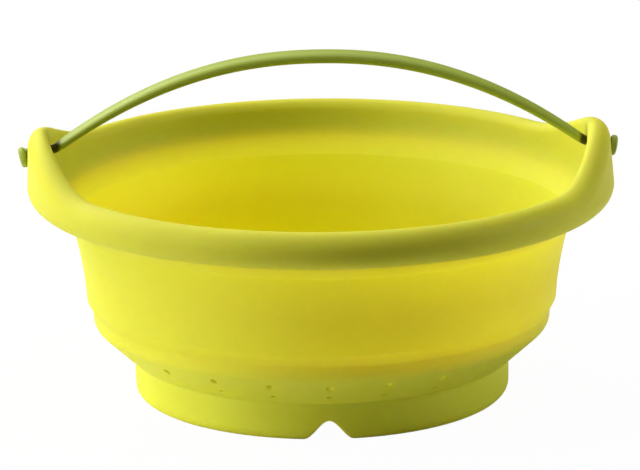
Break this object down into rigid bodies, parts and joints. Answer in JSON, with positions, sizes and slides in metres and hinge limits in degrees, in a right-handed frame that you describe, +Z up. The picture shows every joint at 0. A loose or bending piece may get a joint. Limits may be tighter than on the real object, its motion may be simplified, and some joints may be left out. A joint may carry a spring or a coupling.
{
  "type": "collapsible colander",
  "caption": "Soft round colander that folds flat: notched foot, sloping drain band, thin folding wall, fat rim rising into two ears, and an arched bail handle that swings over.",
  "frame": {"origin": "on the ground, under the middle of the foot", "axes": "+Z up, +X through the right ear, front of the bowl towards -Y"},
  "size_m": [0.2882, 0.28, 0.1654],
  "materials": {
    "silicone": "satin, slightly translucent",
    "thin_silicone": "satin, translucent where thin",
    "bail_nylon": "satin moulded",
    "hoop_nylon": "plain moulded"
  },
  "bodies": {
    "base": {"foot_ring": "silicone", "floor_disc": "silicone", "drain_band": "silicone", "lower_fold_ring": "silicone", "fold_wall": "thin_silicone"},
    "rim": {"upper_collar": "silicone", "rim_band": "silicone", "rim_hoop": "hoop_nylon"},
    "bail": {"bail_strap": "bail_nylon", "bail_head_left": "bail_nylon", "bail_head_right": "bail_nylon"}
  },
  "joints": [
    {"name": "collapse", "type": "slide", "parent": "base", "child": "rim", "axis": [0, 0, 1], "range_m": [-0.066, 0], "deforming": ["fold_wall"]},
    {"name": "bail_swing", "type": "hinge", "parent": "rim", "child": "bail", "pos_m": [0, 0, 0.1195], "axis": [1, 0, 0], "range_deg": [-100, 100]}
  ]
}
